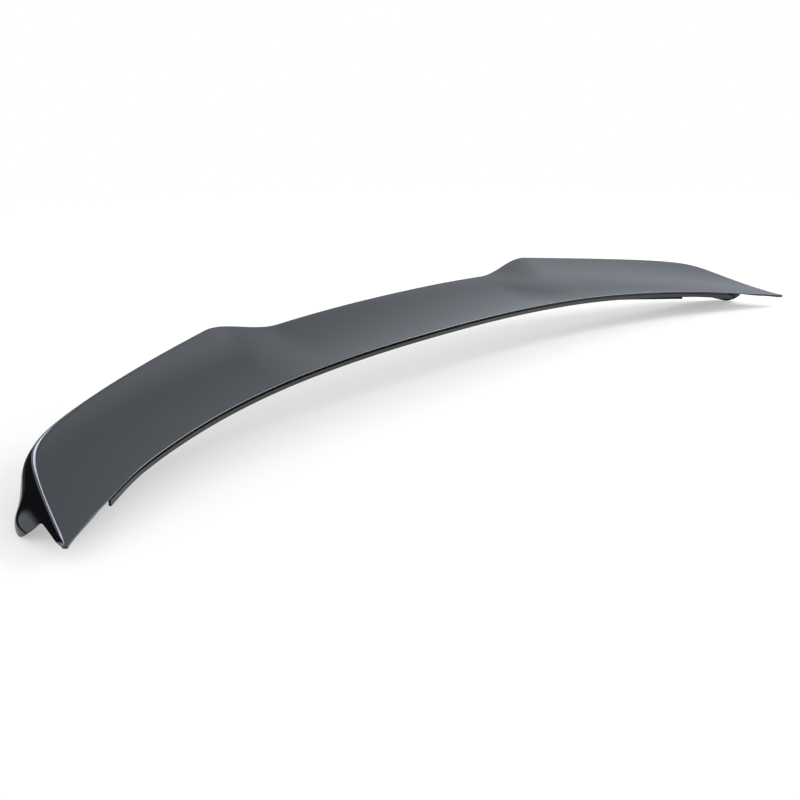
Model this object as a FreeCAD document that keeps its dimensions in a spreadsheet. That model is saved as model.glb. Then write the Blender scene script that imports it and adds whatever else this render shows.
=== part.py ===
import FreeCAD, Part
import Sketcher
import math
import os

# Rear spoiler for a car's boot lid, moulded in one piece as an open-bottomed shell.
# X runs along the span, +Y towards the rear of the car, +Z up. The origin is on the mid-plane,
# at the middle of the front rail's lower edge, where the spoiler is bonded to the lid.

doc = FreeCAD.newDocument("rear_spoiler")

# Driving dimensions, in millimetres, plain ratios where the note says so
dimensions = [
    ("half_span", 630.0, "mid-plane to each tip"),
    ("tip_blunt", 3.0, "width left at the blunt tip"),
    ("tip_height", 15.8, "leading edge above the feet at the tip"),
    ("lead_sweep", 121.5, "leading edge at the middle, behind the tips"),
    ("lead_sweep_power", 3.0, "ratio: how late the plan curve turns forward"),
    ("lead_crown", 43.2, "leading edge at the middle, above the tips"),
    ("lead_crown_power", 2.05, "ratio: how late the crown falls away"),
    ("chord", 89.0, "leading edge to trailing edge, along Y"),
    ("ear_gain", 10.6, "extra chord at each ear"),
    ("ear_station", 282.0, "mid-plane to the ear's corner"),
    ("ear_fade", 235.0, "run outboard over which the ear fades out"),
    ("notch_station", 183.0, "mid-plane to where the recessed middle ends"),
    ("rise_slope_mid", 0.131, "ratio: slope of the top at the leading edge, middle"),
    ("rise_slope_wing", 0.240, "ratio: slope of the top at the leading edge, wings"),
    ("top_radius", 278.0, "hollow radius of the top in section"),
    ("end_cut_slope", 1.72, "ratio: chord lost for each millimetre of span at the ends"),
    ("end_cut_blend", 30.0, "size of the rounding where the end cut meets the trailing edge"),
    ("base_depth", 73.4, "leading edge to lower rear edge, along Y"),
    ("base_drop", 13.2, "leading edge to lower rear edge, along Z"),
    ("foot_drop", 10.7, "extra drop of the lower edge at each foot"),
    ("foot_run", 31.0, "span over which a foot drops"),
    ("foot_cut_slope", 5.82, "ratio: base depth lost for each millimetre of span at the tips"),
    ("foot_cut_blend", 42.8, "size of the rounding at a foot's corner"),
    ("edge_radius", 2.2, "round of the trailing and end edges"),
    ("lead_radius", 1.1, "round of the leading edge"),
    ("wall", 3.0, "thickness of the moulded skin"),
    ("wall_lean", 118.0, "degrees below level, rear skin under the trailing edge"),
    ("wall_bow", 0.4, "ratio: fullness of the rear skin's curve"),
    ("skirt_start", 153.0, "tip to where the rear skin starts to turn out into a skirt"),
    ("skirt_full", 43.0, "tip to where the skirt is fully turned out"),
    ("skirt_flare", 15.4, "extra base depth under the skirt"),
    ("skirt_lean", 30.7, "degrees below level, skirt under the end edge"),
    ("skirt_bow", 0.75, "ratio: fullness of the skirt's curve at the end edge"),
    ("skirt_roll", 0.33, "ratio: fullness of the skirt's curve at its foot"),
    ("skirt_tuck", 14.9, "degrees by which the skirt tucks under at its foot"),
    ("hollow_end", 13.0, "tip to the end of the hollow"),
    ("arch_height", 19.2, "crest of the scallop between foot and tip, above the feet"),
    ("arch_station", 46.0, "crest of the scallop, behind the tips"),
    ("arch_radius", 9.0, "round of the scallop's crest"),
    ("arch_fall", 8.0, "degrees by which the scallop falls from its crest to the tip"),
    ("arch_foot", 82.0, "scallop's end at the foot, behind the tips"),
    ("arch_flare", 40.0, "radius by which the scallop flares into the foot"),
    ("arch_margin", 20.0, "scallop's cut carried on, in front of the tips"),
    ("rail_wall", 3.0, "thickness of the two rails under the shell"),
    ("rail_bite", 2.0, "depth to which the rear rail is moulded into the skin"),
    ("front_rail_setback", 2.5, "leading edge to the front rail"),
    ("lip_margin", 2.0, "lip behind the front rail, up to the hollow"),
    ("front_rail_drop", 7.2, "leading edge to the front rail's lower edge"),
    ("front_rail_end", 80.5, "tip to the front rail's cut end"),
    ("front_rail_flare", 3.0, "extra drop of the front rail at its cut end"),
    ("front_rail_flare_run", 70.0, "span over which the front rail drops"),
    ("rear_rail_drop", 18.5, "leading edge to the rear rail's lower edge"),
    ("rear_rail_height", 12.0, "height of the rear rail"),
    ("rear_rail_end", 76.0, "tip to the rear rail's cut end"),
]
sheet = doc.addObject("Spreadsheet::Sheet", "Dimensions")
for row, (alias, value, note) in enumerate(dimensions, start=1):
    sheet.set(f"A{row}", str(value))
    sheet.setAlias(f"A{row}", alias)
    sheet.set(f"B{row}", note)
doc.recompute()
size = {alias: float(sheet.get(alias)) for alias, _, _ in dimensions}
rail_middle = size["front_rail_setback"] + size["rail_wall"] / 2.0
lip_depth = size["front_rail_setback"] + size["rail_wall"] + size["lip_margin"]

# Steps of the lofts over the recessed middle, an ear's curve, a wing and a rail
middle_steps, ear_steps, wing_steps, rail_steps = 4, 4, 18, 24


def smooth_step(share):
    share = min(max(share, 0.0), 1.0)
    return share * share * (3.0 - 2.0 * share)


def blended_least(one, other, blend):
    return 0.5 * (one + other - math.hypot(one - other, blend))


def unit(angle):
    return FreeCAD.Vector(0.0, math.cos(angle), math.sin(angle))


def right_of(angle):
    return FreeCAD.Vector(0.0, math.sin(angle), -math.cos(angle))


# Guide lines, each a function of the station x along the span

def from_tip(x):
    return size["half_span"] - abs(x)


def lead_point(x):
    share = abs(x) / size["half_span"]
    y = -rail_middle - size["lead_sweep"] * share ** size["lead_sweep_power"]
    z = size["front_rail_drop"] - size["lead_crown"] * share ** size["lead_crown_power"]
    return FreeCAD.Vector(x, y, z)


def wing_share(x):
    run = size["ear_station"] - size["notch_station"]
    return smooth_step((abs(x) - size["notch_station"]) / run)


def chord_at(x):
    fade = min(max((abs(x) - size["ear_station"]) / size["ear_fade"], 0.0), 1.0)
    ear = size["ear_gain"] * (1.0 - fade) ** 2 * wing_share(x)
    end_cut = size["end_cut_slope"] * from_tip(x)
    return blended_least(size["chord"] + ear, end_cut, size["end_cut_blend"])


def rise_slope_at(x):
    return size["rise_slope_mid"] + (size["rise_slope_wing"] - size["rise_slope_mid"]) * wing_share(x)


def skirt_share(x):
    run = size["skirt_start"] - size["skirt_full"]
    return smooth_step((size["skirt_start"] - from_tip(x)) / run)


def skirted(x, plain, turned_out):
    return plain + (turned_out - plain) * skirt_share(x)


def base_point(x):
    depth = skirted(x, size["base_depth"], size["base_depth"] + size["skirt_flare"])
    depth = blended_least(depth, size["foot_cut_slope"] * from_tip(x), size["foot_cut_blend"])
    nose = 2.0 * size["lead_radius"]
    foot = size["foot_drop"] * smooth_step(1.0 - from_tip(x) / size["foot_run"])
    drop = nose + (size["base_drop"] + foot - nose) * depth / size["base_depth"]
    return lead_point(x) + FreeCAD.Vector(0.0, depth, -drop)


def wall_angle(x):
    return -math.radians(skirted(x, size["wall_lean"], size["skirt_lean"]))


def top_point(x, run):
    lift = rise_slope_at(x) * run + run * run / (2.0 * size["top_radius"])
    return lead_point(x) + FreeCAD.Vector(0.0, run, lift)


def top_angle(x, run):
    return math.atan(rise_slope_at(x) + run / size["top_radius"])


def top_edge(x, start, end, depth):
    # The top in section is a parabola, so two end tangents fix it; depth sets it below the outer face.
    first = top_point(x, start) + right_of(top_angle(x, start)) * depth
    last = top_point(x, end) + right_of(top_angle(x, end)) * depth
    slope_first = math.tan(top_angle(x, start))
    slope_last = math.tan(top_angle(x, end))
    reach = (last.z - first.z - slope_first * (last.y - first.y)) / (slope_last - slope_first)
    middle = FreeCAD.Vector(x, last.y - reach, last.z - slope_last * reach)
    curve = Part.BezierCurve()
    curve.setPoles([first, middle, last])
    return curve.toShape()


def wall_edge(x, first, last):
    length = first.distanceToPoint(last)
    leave = unit(wall_angle(x)) * skirted(x, size["wall_bow"], size["skirt_bow"]) * length
    tuck = math.radians(skirted(x, 0.0, size["skirt_tuck"]))
    rise = unit(math.pi / 2.0 - tuck) * skirted(x, size["wall_bow"], size["skirt_roll"]) * length
    curve = Part.BezierCurve()
    curve.setPoles([first, first + leave, last + rise, last])
    return curve.toShape()


def round_edge(centre, radius, from_angle, to_angle):
    middle_angle = 0.5 * (from_angle + to_angle)
    points = [centre - right_of(angle) * radius for angle in (from_angle, middle_angle, to_angle)]
    return Part.Arc(*points).toShape()


# Sections across the span

def outer_section(x):
    chord = chord_at(x)
    top = top_edge(x, 0.0, chord, 0.0)
    rear_centre = top_point(x, chord) + right_of(top_angle(x, chord)) * size["edge_radius"]
    rear_round = round_edge(rear_centre, size["edge_radius"], top_angle(x, chord), wall_angle(x))
    base = base_point(x)
    wall = wall_edge(x, rear_round.valueAt(rear_round.LastParameter), base)
    lead_centre = top_point(x, 0.0) + right_of(top_angle(x, 0.0)) * size["lead_radius"]
    lead_round = round_edge(lead_centre, size["lead_radius"], math.pi, top_angle(x, 0.0))
    nose = lead_round.valueAt(lead_round.FirstParameter)
    lip = nose + FreeCAD.Vector(0.0, lip_depth * min((base - nose).y / size["base_depth"], 1.0), 0.0)
    floor = Part.LineSegment(base, lip).toShape()
    lip_floor = Part.LineSegment(lip, nose).toShape()
    return Part.Wire([top, rear_round, wall, floor, lip_floor, lead_round])


def hollow_section(x):
    # The skin runs askew to the section near the ends, so its thickness is measured along the slant.
    step = 1.0
    slant = (chord_at(x + step) - chord_at(x - step)) / (2.0 * step)
    skin = size["wall"] * math.hypot(1.0, slant)
    chord = chord_at(x)
    corner_angle = math.pi - top_angle(x, chord) + wall_angle(x)
    back = (skin - size["edge_radius"]) / math.tan(corner_angle / 2.0)
    top = top_edge(x, lip_depth, chord - back, size["wall"])
    inner_corner = top.valueAt(top.LastParameter)
    clear = FreeCAD.Vector(0.0, 0.0, size["base_drop"] + size["foot_drop"])
    foot = base_point(x) - FreeCAD.Vector(0.0, skin, 0.0)
    wall = wall_edge(x, inner_corner, foot)
    front = top.valueAt(top.FirstParameter)
    below = FreeCAD.Vector(x, front.y, foot.z - clear.z)
    down = Part.LineSegment(foot, foot - clear).toShape()
    across = Part.LineSegment(foot - clear, below).toShape()
    up = Part.LineSegment(below, front).toShape()
    return Part.Wire([top, wall, down, across, up])


def stations(limit):
    # Even steps over the recessed middle and the ear's curve, then steps that shorten towards the tip.
    # The loft starts past the mid-plane, so that the two halves meet smoothly there.
    notch, ear = size["notch_station"], size["ear_station"]
    half = [notch * k / middle_steps for k in range(middle_steps)]
    half += [notch + (ear - notch) * k / ear_steps for k in range(ear_steps)]
    half += [limit - (limit - ear) * (1.0 - k / wing_steps) ** 2 for k in range(wing_steps + 1)]
    return [-x for x in half[middle_steps:0:-1]] + half


def front_rail_section(x):
    near = lead_point(x).y + size["front_rail_setback"]
    far = near + size["rail_wall"]
    from_end = from_tip(x) - size["front_rail_end"]
    flare = max(1.0 - from_end / size["front_rail_flare_run"], 0.0) ** 2
    low = lead_point(x).z - size["front_rail_drop"] - size["front_rail_flare"] * flare
    root = size["wall"] / 2.0
    corners = [(near, low), (far, low)]
    for y in (far, near):
        corners.append((y, top_point(x, y - lead_point(x).y).z - root))
    return rail_wire(x, corners)


def rear_rail_section(x):
    far = base_point(x).y - size["wall"] + size["rail_bite"]
    near = far - size["rail_wall"]
    low = lead_point(x).z - size["rear_rail_drop"]
    high = low + size["rear_rail_height"]
    return rail_wire(x, [(near, low), (far, low), (far, high), (near, high)])


def rail_wire(x, corners):
    points = [FreeCAD.Vector(x, y, z) for y, z in corners]
    return Part.makePolygon(points + points[:1])


def rail_stations(end_from_tip):
    start = -size["notch_station"]
    end = size["half_span"] - end_from_tip
    return [start + (end - start) * k / rail_steps for k in range(rail_steps + 1)]


# Moulded form, its hollow and the two rails, each lofted through its sections

def lofted(name, section, places):
    form = doc.addObject("Part::Feature", name)
    form.Shape = Part.makeLoft([section(x) for x in places], True)
    form.Placement = FreeCAD.Placement()
    return form


outer_form = lofted("outer_form", outer_section, stations(size["half_span"] - size["tip_blunt"]))
hollow_form = lofted("hollow_form", hollow_section, stations(size["half_span"] - size["hollow_end"]))
front_rail = lofted("front_rail", front_rail_section, rail_stations(size["front_rail_end"]))
rear_rail = lofted("rear_rail", rear_rail_section, rail_stations(size["rear_rail_end"]))

# Scallop between each foot and its tip: one profile, measured from the tip and the feet, cut along the span
arch_profile = doc.addObject("Sketcher::SketchObject", "arch_profile")
along_y, along_z, along_x = FreeCAD.Vector(0, 1, 0), FreeCAD.Vector(0, 0, 1), FreeCAD.Vector(1, 0, 0)
arch_profile.Placement.Rotation = FreeCAD.Rotation(along_y, along_z, along_x)
arch_profile.setExpression("Placement.Base.y",
    "-Dimensions.lead_sweep - Dimensions.front_rail_setback - Dimensions.rail_wall / 2")
arch_profile.setExpression("Placement.Base.z",
    "Dimensions.front_rail_drop - Dimensions.lead_crown - Dimensions.tip_height")
crest = FreeCAD.Vector(size["arch_station"], size["arch_height"] - size["arch_radius"], 0)
foot = FreeCAD.Vector(size["arch_foot"], 0, 0)
fall = math.radians(size["arch_fall"])
# The flare's circle touches the crest's circle from outside and ends at the foot.
gap = foot - crest
reach = size["arch_radius"] + size["arch_flare"]
along = (reach ** 2 - size["arch_flare"] ** 2 + gap.Length ** 2) / (2 * gap.Length)
across = math.sqrt(reach ** 2 - along ** 2)
flare = crest + (gap * along + FreeCAD.Vector(-gap.y, gap.x, 0) * across) / gap.Length
touch = math.atan2(flare.y - crest.y, flare.x - crest.x)
foot_turn = math.atan2(foot.y - flare.y, foot.x - flare.x)
shoulder = crest + FreeCAD.Vector(-math.sin(fall), math.cos(fall), 0) * size["arch_radius"]
tip = FreeCAD.Vector(-size["arch_margin"], 0, 0)
tip.y = shoulder.y - (shoulder.x - tip.x) * math.tan(fall)
below = FreeCAD.Vector(0, -size["arch_margin"], 0)
crest_circle = Part.Circle(crest, along_z, size["arch_radius"])
flare_circle = Part.Circle(flare, along_z, size["arch_flare"])
low_foot = foot + below
low_tip = FreeCAD.Vector(tip.x, low_foot.y, 0)
roof = arch_profile.addGeometry(Part.LineSegment(tip, shoulder))
crown = arch_profile.addGeometry(Part.ArcOfCircle(crest_circle, touch, math.pi / 2 + fall))
sweep = arch_profile.addGeometry(Part.ArcOfCircle(flare_circle, touch + math.pi, foot_turn + 2 * math.pi))
side = arch_profile.addGeometry(Part.LineSegment(foot, low_foot))
floor = arch_profile.addGeometry(Part.LineSegment(low_foot, low_tip))
front = arch_profile.addGeometry(Part.LineSegment(low_tip, tip))
# The sketcher's own numbers for the points of a line or an arc, and for its origin and level axis
start, end, centre = range(1, 4)
origin = level = -1
for rule in (
    ("Tangent", roof, end, crown, end), ("Tangent", crown, start, sweep, start),
    ("Coincident", sweep, end, side, start), ("Coincident", side, end, floor, start),
    ("Coincident", floor, end, front, start), ("Coincident", front, end, roof, start),
    ("Horizontal", floor), ("Vertical", side), ("Vertical", front), ("PointOnObject", side, start, level),
):
    arch_profile.addConstraint(Sketcher.Constraint(*rule))
driven = [
    (("DistanceX", origin, start, crown, centre, crest.x), "Dimensions.arch_station"),
    (("DistanceY", origin, start, crown, centre, crest.y), "Dimensions.arch_height - Dimensions.arch_radius"),
    (("Radius", crown, size["arch_radius"]), "Dimensions.arch_radius"),
    (("Radius", sweep, size["arch_flare"]), "Dimensions.arch_flare"),
    (("DistanceX", origin, start, side, start, foot.x), "Dimensions.arch_foot"),
    (("DistanceY", side, end, side, start, size["arch_margin"]), "Dimensions.arch_margin"),
    (("DistanceX", roof, start, origin, start, size["arch_margin"]), "Dimensions.arch_margin"),
    (("Angle", roof, fall), "Dimensions.arch_fall * 1 deg"),
]
for definition, expression in driven:
    number = arch_profile.addConstraint(Sketcher.Constraint(*definition))
    arch_profile.setExpression(f"Constraints[{number}]", expression)
arch_cutter = doc.addObject("Part::Extrusion", "arch_cutter")
arch_cutter.Base = arch_profile
arch_cutter.DirMode = "Normal"
arch_cutter.Symmetric = True
arch_cutter.Solid = True
arch_cutter.setExpression("LengthFwd", "2 * Dimensions.half_span")

# One half is the form less its hollow and the scallop, with the rails moulded on
hollowed = doc.addObject("Part::Cut", "hollowed")
hollowed.Base = outer_form
hollowed.Tool = hollow_form
scalloped = doc.addObject("Part::Cut", "scalloped")
scalloped.Base = hollowed
scalloped.Tool = arch_cutter
with_rails = doc.addObject("Part::MultiFuse", "with_rails")
with_rails.Shapes = [scalloped, front_rail, rear_rail]
one_side = doc.addObject("Part::Box", "one_side")
for property_name, expression in (
    ("Length", "Dimensions.half_span"), ("Width", "2 * Dimensions.half_span"),
    ("Height", "2 * Dimensions.half_span"), ("Placement.Base.y", "-Dimensions.half_span"),
    ("Placement.Base.z", "-Dimensions.half_span"),
):
    one_side.setExpression(property_name, expression)
half = doc.addObject("Part::Common", "half")
half.Base = with_rails
half.Tool = one_side

# The other half is its mirror image across the mid-plane
mirrored = doc.addObject("Part::Mirroring", "mirrored")
mirrored.Source = half
mirrored.Normal = along_x
shell = doc.addObject("Part::Fuse", "shell")
shell.Base = half
shell.Tool = mirrored
shell.Label = "spoiler_shell"
doc.recompute()

failed = [item.Name for item in doc.Objects if "Invalid" in item.State or "Error" in item.State]
if failed:
    raise RuntimeError(f"these objects failed: {failed}")
for piece in (shell,):
    if piece.Shape.isNull() or not piece.Shape.isValid() or len(piece.Shape.Solids) != 1:
        raise RuntimeError(f"{piece.Label} isn't one sound solid")

os.makedirs("parts", exist_ok=True)
for piece in (shell,):
    piece.Shape.exportStep(f"parts/{piece.Label}.step")
    print(piece.Label, round(piece.Shape.Volume), "mm3,", len(piece.Shape.Faces), "faces")
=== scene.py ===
import math

import bmesh
import bpy
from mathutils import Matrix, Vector


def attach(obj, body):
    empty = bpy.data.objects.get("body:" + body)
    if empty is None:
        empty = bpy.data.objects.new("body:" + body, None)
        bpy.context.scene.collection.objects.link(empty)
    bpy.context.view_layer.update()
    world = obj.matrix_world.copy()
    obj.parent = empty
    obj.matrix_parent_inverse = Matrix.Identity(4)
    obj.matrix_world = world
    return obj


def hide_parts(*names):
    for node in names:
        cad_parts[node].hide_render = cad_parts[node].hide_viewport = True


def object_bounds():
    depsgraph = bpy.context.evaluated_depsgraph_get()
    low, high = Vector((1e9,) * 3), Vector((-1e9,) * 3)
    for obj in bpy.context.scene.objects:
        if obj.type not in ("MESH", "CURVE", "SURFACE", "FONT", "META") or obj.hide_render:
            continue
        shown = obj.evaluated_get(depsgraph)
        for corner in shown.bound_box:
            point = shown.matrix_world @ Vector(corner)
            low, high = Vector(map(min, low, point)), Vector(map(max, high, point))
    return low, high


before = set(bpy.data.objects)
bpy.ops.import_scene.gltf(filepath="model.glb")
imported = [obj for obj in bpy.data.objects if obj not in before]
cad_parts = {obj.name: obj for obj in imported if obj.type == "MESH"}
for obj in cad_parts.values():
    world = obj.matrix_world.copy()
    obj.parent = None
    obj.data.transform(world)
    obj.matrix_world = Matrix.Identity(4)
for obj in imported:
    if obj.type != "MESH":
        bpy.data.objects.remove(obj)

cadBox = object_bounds()
scene = bpy.context.scene
scene.view_settings.view_transform = "Standard"
print("frame loaded, box", [round(v, 4) for v in cadBox[1] - cadBox[0]])

# the moulded shell, sizes in metres, leans in degrees below level
shellSizes = {
    "halfSpan": 0.630, "tipBlunt": 0.003, "tipHeight": 0.0158,
    "leadSweep": 0.1215, "leadSweepPower": 3.0, "leadCrown": 0.0432, "leadCrownPower": 2.05,
    "chord": 0.089, "earGain": 0.0106, "earStation": 0.282, "earFade": 0.235, "notchStation": 0.183,
    "riseMid": 0.131, "riseWing": 0.240, "topRadius": 0.278,
    "endCutSlope": 1.72, "endCutBlend": 0.030,
    "baseDepth": 0.0734, "baseDrop": 0.0132, "footDrop": 0.0107, "footRun": 0.031,
    "footCutSlope": 5.82, "footCutBlend": 0.0428,
    "tipTaper": 0.008, "tipEdge": 0.6, "tipRound": 0.0032, "tipReach": 0.90,
    "edgeRadius": 0.0022, "endEdgeRadius": 0.0075, "leadRadius": 0.0008, "noseTurn": 110.0,
    "lipThickness": 0.0011, "tipChin": 0.0018, "chinSet": 0.0008, "wall": 0.003,
    "wallLean": 118.0, "wallBow": 0.4,
    "skirtStart": 0.153, "skirtFull": 0.043, "skirtFlare": 0.0154, "skirtLean": 30.7,
    "skirtBow": 0.75, "skirtRoll": 0.27, "skirtTuck": 14.9, "hollowEnd": 0.013,
    "railWall": 0.003, "railBite": 0.002,
    "leadTrim": 0.0032, "trimMid": 0.3, "trimGrow": 0.6, "trimEnd": 0.90, "trimFade": 0.12,
    "originSetback": 0.004, "originDrop": 0.0072,
    "frontRailSetback": 0.0012, "frontRailDrop": 0.0080, "frontRailEnd": 0.078,
    "frontRailFlare": 0.0012, "frontRailFlareRun": 0.070,
    "grooveHeight": 0.0029, "grooveDepth": 0.006, "railWeb": 0.0015,
    "rearRailDrop": 0.0185, "rearRailHeight": 0.012, "rearRailEnd": 0.076,
    "archHeight": 0.0180, "archStation": 0.048, "archRadius": 0.0125, "archFall": 8.0,
    "archFoot": 0.082, "archFlare": 0.040, "archMargin": 0.020,
}
sz = shellSizes
lipDepth = sz["frontRailSetback"] + sz["grooveDepth"] + sz["railWall"]

# how finely each stretch of a section is drawn, and how many sections there are
meshSteps = {"top": 44, "round": 10, "wall": 34, "nose": 8, "stations": 360, "rail": 120, "arc": 24}
gather = {"shell": 1.55, "hollow": 1.5, "rail": 1.0}  # above 1, sections lie closer towards the tips
mergeDistance = 1e-5
sharpAngle = 32.0


def smoothStep(share):
    share = min(max(share, 0.0), 1.0)
    return share * share * (3.0 - 2.0 * share)


def blendedLeast(one, other, blend):
    return 0.5 * (one + other - math.hypot(one - other, blend))


def heading(angle):
    return Vector((math.cos(angle), math.sin(angle)))


def rightOf(angle):
    return Vector((math.sin(angle), -math.cos(angle)))


# guide lines in (y, z), each by its place x along the span
def fromTip(x):
    return sz["halfSpan"] - abs(x)


def frontLine(x):
    share = abs(x) / sz["halfSpan"]
    return Vector((-sz["originSetback"] - sz["leadSweep"] * share ** sz["leadSweepPower"],
                   sz["originDrop"] - sz["leadCrown"] * share ** sz["leadCrownPower"]))


def trimAt(x):
    # the front of the top is trimmed back a little between the middle and the rail's end
    share = abs(x) / sz["halfSpan"]
    grown = sz["trimMid"] + (1.0 - sz["trimMid"]) * smoothStep(share / sz["trimGrow"])
    return sz["leadTrim"] * grown * smoothStep((sz["trimEnd"] - share) / sz["trimFade"])


def leadPoint(x):
    return topPoint(x, 0.0)


def wingShare(x):
    return smoothStep((abs(x) - sz["notchStation"]) / (sz["earStation"] - sz["notchStation"]))


def chordAt(x):
    fade = min(max((abs(x) - sz["earStation"]) / sz["earFade"], 0.0), 1.0)
    ear = sz["earGain"] * (1.0 - fade) ** 2 * wingShare(x)
    return blendedLeast(sz["chord"] + ear, sz["endCutSlope"] * fromTip(x), sz["endCutBlend"])


def riseAt(x):
    return sz["riseMid"] + (sz["riseWing"] - sz["riseMid"]) * wingShare(x)


def skirted(x, plain, turnedOut):
    share = smoothStep((sz["skirtStart"] - fromTip(x)) / (sz["skirtStart"] - sz["skirtFull"]))
    return plain + (turnedOut - plain) * share


def lipAt(x):
    # past the end of the front rail the nose grows a chin
    return sz["lipThickness"] + sz["tipChin"] * smoothStep(2.0 - 2.0 * fromTip(x) / sz["frontRailEnd"])


def basePoint(x):
    depth = skirted(x, sz["baseDepth"], sz["baseDepth"] + sz["skirtFlare"])
    depth = blendedLeast(depth, sz["footCutSlope"] * fromTip(x), sz["footCutBlend"])
    depth *= smoothStep(fromTip(x) / sz["tipTaper"])
    nose = lipAt(x)
    foot = sz["footDrop"] * smoothStep(1.0 - fromTip(x) / sz["footRun"])
    drop = nose + (sz["baseDrop"] + foot - nose) * depth / sz["baseDepth"]
    return frontLine(x) + Vector((depth, -drop))


def wallAngle(x):
    return -math.radians(skirted(x, sz["wallLean"], sz["skirtLean"]))


def topPoint(x, run):
    run += trimAt(x)
    return frontLine(x) + Vector((run, riseAt(x) * run + run * run / (2.0 * sz["topRadius"])))


def topAngle(x, run):
    return math.atan(riseAt(x) + (run + trimAt(x)) / sz["topRadius"])


def bezier(poles, steps):
    # points of a Bezier curve, without its last one
    points = []
    for k in range(steps):
        t = k / steps
        row = list(poles)
        while len(row) > 1:
            row = [a.lerp(b, t) for a, b in zip(row, row[1:])]
        points.append(row[0])
    return points


def topRun(x, start, end, depth):
    first = topPoint(x, start) + rightOf(topAngle(x, start)) * depth
    last = topPoint(x, end) + rightOf(topAngle(x, end)) * depth
    slopeFirst, slopeLast = math.tan(topAngle(x, start)), math.tan(topAngle(x, end))
    reach = (last.y - first.y - slopeFirst * (last.x - first.x)) / (slopeLast - slopeFirst)
    middle = Vector((last.x - reach, last.y - slopeLast * reach))
    return bezier([first, middle, last], meshSteps["top"]), last


def wallRun(x, first, last):
    length = (last - first).length
    leave = heading(wallAngle(x)) * skirted(x, sz["wallBow"], sz["skirtBow"]) * length
    tuck = math.radians(skirted(x, 0.0, sz["skirtTuck"]))
    rise = heading(math.pi / 2 - tuck) * skirted(x, sz["wallBow"], sz["skirtRoll"]) * length
    return bezier([first, first + leave, last + rise, last], meshSteps["wall"])


def roundRun(centre, radius, fromAngle, toAngle, steps):
    turns = [fromAngle + (toAngle - fromAngle) * k / steps for k in range(steps)]
    return [centre - rightOf(turn) * radius for turn in turns]


def outerSection(x):
    # the end edge is rounder, and its top is drawn in to keep the edge in its place
    radius = min(skirted(x, sz["edgeRadius"], sz["endEdgeRadius"]), sz["tipEdge"] * chordAt(x))
    base = basePoint(x)
    chord = chordAt(x) - trimAt(x) - max(radius - sz["edgeRadius"], 0.0) / 2
    top, edge = topRun(x, 0.0, chord, 0.0)
    rearCentre = edge + rightOf(topAngle(x, chord)) * radius
    rear = roundRun(rearCentre, radius, topAngle(x, chord), wallAngle(x), meshSteps["round"])
    wallTop = rearCentre - rightOf(wallAngle(x)) * radius
    leadCentre = leadPoint(x) + rightOf(topAngle(x, 0.0)) * sz["leadRadius"]
    noseTurn = math.radians(sz["noseTurn"])
    nose = roundRun(leadCentre, sz["leadRadius"], noseTurn, topAngle(x, 0.0), meshSteps["nose"])
    inward = min((base - nose[0]).x / sz["baseDepth"], 1.0)
    chin = nose[0] + Vector((sz["chinSet"] * inward, sz["lipThickness"] - lipAt(x)))
    lip = chin + Vector((lipDepth * inward, 0.0))
    return top + rear + wallRun(x, wallTop, base) + [base, lip, chin] + nose


def tippedSection(x):
    # past the last full section the form is drawn together into a round tip
    last = sz["halfSpan"] - sz["tipBlunt"]
    share = max(abs(x) - last, 0.0) / sz["tipRound"]
    points = outerSection(math.copysign(min(abs(x), last), x))
    middle = points[0].lerp(sum(points, Vector((0.0, 0.0))) / len(points), 0.5)
    return [middle + (point - middle) * math.sqrt(1.0 - share * share) for point in points]


def hollowSection(x):
    step = 0.001
    slant = (chordAt(x + step) - chordAt(x - step)) / (2.0 * step)
    skin = sz["wall"] * math.hypot(1.0, slant)
    chord = chordAt(x) - trimAt(x)
    corner = math.pi - topAngle(x, chord) + wallAngle(x)
    back = (skin - sz["edgeRadius"]) / math.tan(corner / 2.0)
    top, innerEdge = topRun(x, lipDepth, chord - back, sz["wall"])
    foot = basePoint(x) - Vector((skin, 0.0))
    below = Vector((0.0, sz["baseDrop"] + sz["footDrop"]))
    opening = [foot, foot - below, Vector((top[0].x, foot.y - below.y))]
    return top + wallRun(x, innerEdge, foot) + opening


def frontRailSection(x):
    # a face plate hung on a web, with a shadow groove between it and the nose
    lead = leadPoint(x)
    near = sz["frontRailSetback"]
    far = near + sz["railWall"]
    neck = near + sz["grooveDepth"]
    flare = max(1.0 - (fromTip(x) - sz["frontRailEnd"]) / sz["frontRailFlareRun"], 0.0) ** 2
    low = -sz["frontRailDrop"] - sz["frontRailFlare"] * flare
    groove = -sz["lipThickness"] - sz["grooveHeight"]
    web = groove - sz["railWeb"]
    back = neck + sz["railWall"] / 2
    roots = [topPoint(x, run).y - lead.y - sz["wall"] / 2 for run in (back, neck)]
    corners = [(near, low), (far, low), (far, web), (back, web), (back, roots[0]), (neck, roots[1]),
               (neck, groove), (near, groove)]
    return [lead + Vector(corner) for corner in corners]


def rearRailSection(x):
    far = basePoint(x).x - sz["wall"] + sz["railBite"]
    near = far - sz["railWall"]
    low = frontLine(x).y - sz["rearRailDrop"]
    high = low + sz["rearRailHeight"]
    return [Vector(corner) for corner in ((near, low), (far, low), (far, high), (near, high))]


def newObject(name, bm):
    mesh = bpy.data.meshes.new(name)
    bmesh.ops.recalc_face_normals(bm, faces=bm.faces)
    bm.to_mesh(mesh)
    bm.free()
    obj = bpy.data.objects.new(name, mesh)
    scene.collection.objects.link(obj)
    return obj


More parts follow.
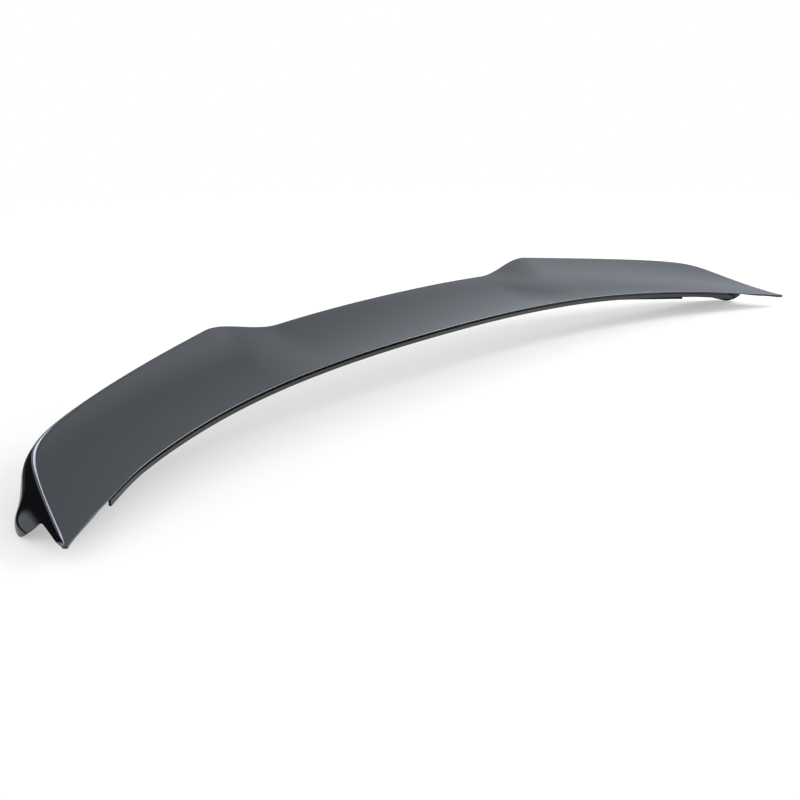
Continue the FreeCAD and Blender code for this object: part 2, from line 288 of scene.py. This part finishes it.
def sectioned(name, section, limit, steps, drawn):
    # a grid wrapped round the sections
    places = []
    for k in range(steps + 1):
        share = 2.0 * k / steps - 1.0
        places.append(math.copysign(limit * (1.0 - (1.0 - abs(share)) ** drawn), share))
    rows = [section(x) for x in places]
    count = len(rows[0])
    bm = bmesh.new()
    bmesh.ops.create_grid(bm, x_segments=steps, y_segments=count, size=1.0)
    for v in bm.verts:
        i = round((v.co.x + 1.0) / 2.0 * steps)
        j = round((v.co.y + 1.0) / 2.0 * count) % count
        v.co = (places[i], *rows[i][j])
    bmesh.ops.remove_doubles(bm, verts=bm.verts, dist=mergeDistance)
    bmesh.ops.holes_fill(bm, edges=[e for e in bm.edges if e.is_boundary], sides=0)
    return newObject(name, bm)


def scallopCutter():
    # profile in (y, z) from the tip and the feet, drawn out along the span
    crest = Vector((sz["archStation"], sz["archHeight"] - sz["archRadius"]))
    foot = Vector((sz["archFoot"], 0.0))
    fall = math.radians(sz["archFall"])
    gap = foot - crest
    reach = sz["archRadius"] + sz["archFlare"]
    along = (reach ** 2 - sz["archFlare"] ** 2 + gap.length_squared) / (2 * gap.length)
    across = math.sqrt(reach ** 2 - along ** 2)
    flare = crest + (gap * along + Vector((-gap.y, gap.x)) * across) / gap.length
    touch = math.atan2(flare.y - crest.y, flare.x - crest.x)
    footTurn = math.atan2(foot.y - flare.y, foot.x - flare.x)
    shoulder = crest + Vector((-math.sin(fall), math.cos(fall))) * sz["archRadius"]
    tip = Vector((-sz["archMargin"], shoulder.y - (shoulder.x + sz["archMargin"]) * math.tan(fall)))
    steps = meshSteps["arc"]
    crown = [crest + heading(touch + (math.pi / 2 + fall - touch) * k / steps) * sz["archRadius"]
             for k in range(steps, 0, -1)]
    turn = footTurn - touch + math.pi
    sweep = [flare + heading(touch - math.pi + turn * k / steps) * sz["archFlare"]
             for k in range(steps + 1)]
    below = Vector((0.0, -sz["archMargin"]))
    outline = [tip] + crown + sweep + [foot + below, Vector((tip.x, foot.y + below.y))]
    shift = leadPoint(sz["halfSpan"]) - Vector((0.0, sz["tipHeight"]))
    bm = bmesh.new()
    face = bm.faces.new([bm.verts.new((-sz["halfSpan"], *(p + shift))) for p in outline])
    drawn = bmesh.ops.extrude_face_region(bm, geom=[face])
    moved = [g for g in drawn["geom"] if isinstance(g, bmesh.types.BMVert)]
    bmesh.ops.translate(bm, verts=moved, vec=(2 * sz["halfSpan"], 0.0, 0.0))
    return newObject("scallopCutter", bm)


def joined(target, tools):
    for tool, operation in tools:
        cut = target.modifiers.new(tool.name, "BOOLEAN")
        cut.object, cut.operation, cut.solver = tool, operation, "EXACT"
    depsgraph = bpy.context.evaluated_depsgraph_get()
    mesh = bpy.data.meshes.new_from_object(target.evaluated_get(depsgraph))
    target.modifiers.clear()
    target.data = mesh
    for tool, _ in tools:
        bpy.data.objects.remove(tool)
    return target


def buildShell():
    tipEnd = sz["halfSpan"] - sz["tipBlunt"] + sz["tipReach"] * sz["tipRound"]
    hollowEnd = sz["halfSpan"] - sz["hollowEnd"]
    frontEnd = sz["halfSpan"] - sz["frontRailEnd"]
    rearEnd = sz["halfSpan"] - sz["rearRailEnd"]
    stations, railSteps = meshSteps["stations"], meshSteps["rail"]
    shell = sectioned("spoilerShell", tippedSection, tipEnd, stations, gather["shell"])
    hollow = sectioned("hollow", hollowSection, hollowEnd, stations, gather["hollow"])
    frontRail = sectioned("frontRail", frontRailSection, frontEnd, railSteps, gather["rail"])
    rearRail = sectioned("rearRail", rearRailSection, rearEnd, railSteps, gather["rail"])
    joined(shell, [(hollow, "DIFFERENCE"), (scallopCutter(), "DIFFERENCE"),
                   (frontRail, "UNION"), (rearRail, "UNION")])
    mesh = shell.data
    mesh.polygons.foreach_set("use_smooth", [True] * len(mesh.polygons))
    mesh.set_sharp_from_angle(angle=math.radians(sharpAngle))
    print("shell", len(mesh.polygons), "faces")
    return shell


# painted gloss black, with a faint orange peel and small changes of gloss
glossSettings = {
    "colour": (0.0016, 0.0018, 0.0022, 1.0), "colourTwo": (0.0024, 0.0027, 0.0033, 1.0),
    "ior": 1.5, "glossLow": 0.04, "glossHigh": 0.08, "cloud": 9.0,
    "peelScale": 420.0, "peelHeight": 0.00002, "peel": 0.05,
}


def glossBlack():
    g = glossSettings
    mat = bpy.data.materials.new("glossBlack")
    mat.use_nodes = True
    nodes, links = mat.node_tree.nodes, mat.node_tree.links
    shader = nodes["Principled BSDF"]
    shader.inputs["IOR"].default_value = g["ior"]
    place = nodes.new("ShaderNodeTexCoord")
    cloud = nodes.new("ShaderNodeTexNoise")
    cloud.inputs["Scale"].default_value = g["cloud"]
    links.new(place.outputs["Object"], cloud.inputs["Vector"])
    tint = nodes.new("ShaderNodeMix")
    tint.data_type = "RGBA"
    tint.inputs["A"].default_value = g["colour"]
    tint.inputs["B"].default_value = g["colourTwo"]
    links.new(cloud.outputs["Fac"], tint.inputs["Factor"])
    links.new(tint.outputs["Result"], shader.inputs["Base Color"])
    gloss = nodes.new("ShaderNodeMapRange")
    gloss.inputs["To Min"].default_value = g["glossLow"]
    gloss.inputs["To Max"].default_value = g["glossHigh"]
    links.new(cloud.outputs["Fac"], gloss.inputs["Value"])
    links.new(gloss.outputs["Result"], shader.inputs["Roughness"])
    peel = nodes.new("ShaderNodeTexNoise")
    peel.inputs["Scale"].default_value = g["peelScale"]
    links.new(place.outputs["Object"], peel.inputs["Vector"])
    bump = nodes.new("ShaderNodeBump")
    bump.inputs["Strength"].default_value = g["peel"]
    bump.inputs["Distance"].default_value = g["peelHeight"]
    links.new(peel.outputs["Fac"], bump.inputs["Height"])
    links.new(bump.outputs["Normal"], shader.inputs["Normal"])
    return mat


shell = buildShell()
shell.data.materials.clear()
shell.data.materials.append(glossBlack())
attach(shell, "root")
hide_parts("spoiler_shell")
print("shell dressed")

# floor: pale paint near the part, where its shadow lies, and plain white further off
floorSettings = {"size": 60.0, "colour": (0.86, 0.86, 0.86, 1.0), "lift": 0.40, "near": 0.7, "far": 2.0}


def buildFloor():
    bm = bmesh.new()
    bmesh.ops.create_grid(bm, x_segments=1, y_segments=1, size=floorSettings["size"] / 2)
    bmesh.ops.translate(bm, verts=bm.verts, vec=(0.0, 0.0, cadBox[0].z))
    floor = newObject("floor", bm)
    mat = bpy.data.materials.new("paleFloor")
    mat.use_nodes = True
    nodes, links = mat.node_tree.nodes, mat.node_tree.links
    nodes.clear()
    out = nodes.new("ShaderNodeOutputMaterial")
    paint = nodes.new("ShaderNodeBsdfDiffuse")
    paint.inputs["Color"].default_value = floorSettings["colour"]
    white = nodes.new("ShaderNodeEmission")
    white.inputs["Strength"].default_value = 1.0
    white.inputs["Color"].default_value = (1.0, 1.0, 1.0, 1.0)
    place = nodes.new("ShaderNodeTexCoord")
    reach = nodes.new("ShaderNodeVectorMath")
    reach.operation = "LENGTH"
    links.new(place.outputs["Object"], reach.inputs[0])
    lift = nodes.new("ShaderNodeMapRange")
    lift.interpolation_type = "SMOOTHSTEP"
    lift.inputs["From Min"].default_value = floorSettings["near"]
    lift.inputs["From Max"].default_value = floorSettings["far"]
    lift.inputs["To Min"].default_value = floorSettings["lift"]
    links.new(reach.outputs["Value"], lift.inputs["Value"])
    path = nodes.new("ShaderNodeLightPath")
    seen = nodes.new("ShaderNodeMath")
    seen.operation = "MULTIPLY"
    links.new(path.outputs["Is Camera Ray"], seen.inputs[0])
    links.new(lift.outputs["Result"], seen.inputs[1])
    mix = nodes.new("ShaderNodeMixShader")
    links.new(seen.outputs[0], mix.inputs["Fac"])
    links.new(paint.outputs[0], mix.inputs[1])
    links.new(white.outputs[0], mix.inputs[2])
    links.new(mix.outputs[0], out.inputs["Surface"])
    floor.data.materials.append(mat)


# black card behind the left end, lying on the floor and standing up at its far side,
# thinning out towards its top and seen in reflections only
cardSettings = {
    "left": -0.95, "right": 0.0, "near": 0.16, "far": 0.50, "rise": 0.15, "lift": 0.001,
    "solidTo": 0.085, "gone": 0.145, "colour": (0.004, 0.004, 0.004, 1.0),
}


def buildCard():
    c = cardSettings
    bm = bmesh.new()
    bmesh.ops.create_grid(bm, x_segments=1, y_segments=1, size=0.5)
    bmesh.ops.scale(bm, verts=bm.verts, vec=(c["right"] - c["left"], c["far"] - c["near"], 1.0))
    middle = ((c["left"] + c["right"]) / 2, (c["near"] + c["far"]) / 2, cadBox[0].z + c["lift"])
    bmesh.ops.translate(bm, verts=bm.verts, vec=middle)
    farEdge = [e for e in bm.edges if all(v.co.y > middle[1] for v in e.verts)]
    drawn = bmesh.ops.extrude_edge_only(bm, edges=farEdge)
    stood = [g for g in drawn["geom"] if isinstance(g, bmesh.types.BMVert)]
    bmesh.ops.translate(bm, verts=stood, vec=(0.0, 0.0, c["rise"]))
    card = newObject("blackCard", bm)
    mat = bpy.data.materials.new("blackCard")
    mat.use_nodes = True
    nodes, links = mat.node_tree.nodes, mat.node_tree.links
    shader = nodes["Principled BSDF"]
    shader.inputs["Base Color"].default_value = c["colour"]
    shader.inputs["Roughness"].default_value = 1.0
    place = nodes.new("ShaderNodeTexCoord")
    split = nodes.new("ShaderNodeSeparateXYZ")
    links.new(place.outputs["Object"], split.inputs[0])
    fade = nodes.new("ShaderNodeMapRange")
    fade.interpolation_type = "SMOOTHSTEP"
    fade.inputs["From Min"].default_value = cadBox[0].z + c["solidTo"]
    fade.inputs["From Max"].default_value = cadBox[0].z + c["gone"]
    fade.inputs["To Min"].default_value = 1.0
    fade.inputs["To Max"].default_value = 0.0
    links.new(split.outputs["Z"], fade.inputs["Value"])
    links.new(fade.outputs["Result"], shader.inputs["Alpha"])
    card.data.materials.append(mat)
    card.visible_camera = card.visible_diffuse = card.visible_shadow = False


buildFloor()
buildCard()

# soft studio light: place and aim in metres, size of the lamp's face, power in watts
lampSettings = {
    "keySoftbox": {
        "place": (1.75, -0.75, 1.15), "aim": (0.0, 0.0, 0.0), "size": (0.8, 0.8), "power": 22.0,
        "colour": (1.0, 1.0, 1.0), "lightsFloor": True,
    },
    "backSoftbox": {
        "place": (-0.30, 1.38, 1.36), "aim": (-0.60, -0.05, -0.01), "size": (1.36, 1.0), "power": 36.0,
        "colour": (0.80, 0.80, 1.0), "lightsFloor": False,
    },
}


def buildLamp(name, lamp):
    data = bpy.data.lights.new(name, "AREA")
    data.shape = "RECTANGLE"
    data.size, data.size_y = lamp["size"]
    data.energy = lamp["power"]
    data.color = lamp["colour"]
    obj = bpy.data.objects.new(name, data)
    obj.location = lamp["place"]
    obj.rotation_euler = (Vector(lamp["aim"]) - obj.location).to_track_quat("-Z", "Y").to_euler()
    obj.visible_diffuse = lamp["lightsFloor"]
    scene.collection.objects.link(obj)


for name, lamp in lampSettings.items():
    buildLamp(name, lamp)

# surroundings: white to the eye, cool and brighter towards the front in reflections,
# and for the rest a glow that is strongest near the horizon
roomSettings = {
    "glowLow": 2.6, "glowHigh": 0.35, "cool": (0.89, 0.97, 1.07, 1.0),
    "frontSide": 0.18, "backSide": 0.32, "frontBright": 1.5, "backBright": 0.92,
}


def buildRoom():
    world = bpy.data.worlds.new("room")
    scene.world = world
    world.use_nodes = True
    nodes, links = world.node_tree.nodes, world.node_tree.links
    nodes.clear()
    glow, reflected, white = [nodes.new("ShaderNodeBackground") for _ in range(3)]
    glow.inputs["Color"].default_value = white.inputs["Color"].default_value = (1.0, 1.0, 1.0, 1.0)
    reflected.inputs["Color"].default_value = roomSettings["cool"]
    place = nodes.new("ShaderNodeTexCoord")
    split = nodes.new("ShaderNodeSeparateXYZ")
    links.new(place.outputs["Generated"], split.inputs[0])
    side = nodes.new("ShaderNodeMapRange")
    side.interpolation_type = "SMOOTHSTEP"
    side.inputs["From Min"].default_value = roomSettings["frontSide"]
    side.inputs["From Max"].default_value = roomSettings["backSide"]
    side.inputs["To Min"].default_value = roomSettings["frontBright"]
    side.inputs["To Max"].default_value = roomSettings["backBright"]
    links.new(split.outputs["Y"], side.inputs["Value"])
    links.new(side.outputs["Result"], reflected.inputs["Strength"])
    height = nodes.new("ShaderNodeMapRange")
    height.inputs["To Min"].default_value = roomSettings["glowLow"]
    height.inputs["To Max"].default_value = roomSettings["glowHigh"]
    links.new(split.outputs["Z"], height.inputs["Value"])
    links.new(height.outputs["Result"], glow.inputs["Strength"])
    path = nodes.new("ShaderNodeLightPath")
    inner = nodes.new("ShaderNodeMixShader")
    links.new(path.outputs["Is Glossy Ray"], inner.inputs["Fac"])
    links.new(glow.outputs[0], inner.inputs[1])
    links.new(reflected.outputs[0], inner.inputs[2])
    outer = nodes.new("ShaderNodeMixShader")
    links.new(path.outputs["Is Camera Ray"], outer.inputs["Fac"])
    links.new(inner.outputs[0], outer.inputs[1])
    links.new(white.outputs[0], outer.inputs[2])
    out = nodes.new("ShaderNodeOutputWorld")
    links.new(outer.outputs[0], out.inputs["Surface"])


buildRoom()
print("floor, card, lamps and room set")

# camera at the photograph's angle
cameraSettings = {
    "place": (-1.2295, -0.9265, 0.3400), "aim": (-0.1776, -0.0786, -0.0269),
    "lens": 63.0, "sensor": 36.0, "clip": (0.01, 200.0),
}


def buildCamera():
    data = bpy.data.cameras.new("camera")
    data.sensor_width = cameraSettings["sensor"]
    data.lens = cameraSettings["lens"]
    data.clip_start, data.clip_end = cameraSettings["clip"]
    obj = bpy.data.objects.new("camera", data)
    obj.location = cameraSettings["place"]
    obj.rotation_euler = (Vector(cameraSettings["aim"]) - obj.location).to_track_quat("-Z", "Y").to_euler()
    scene.collection.objects.link(obj)
    scene.camera = obj


buildCamera()
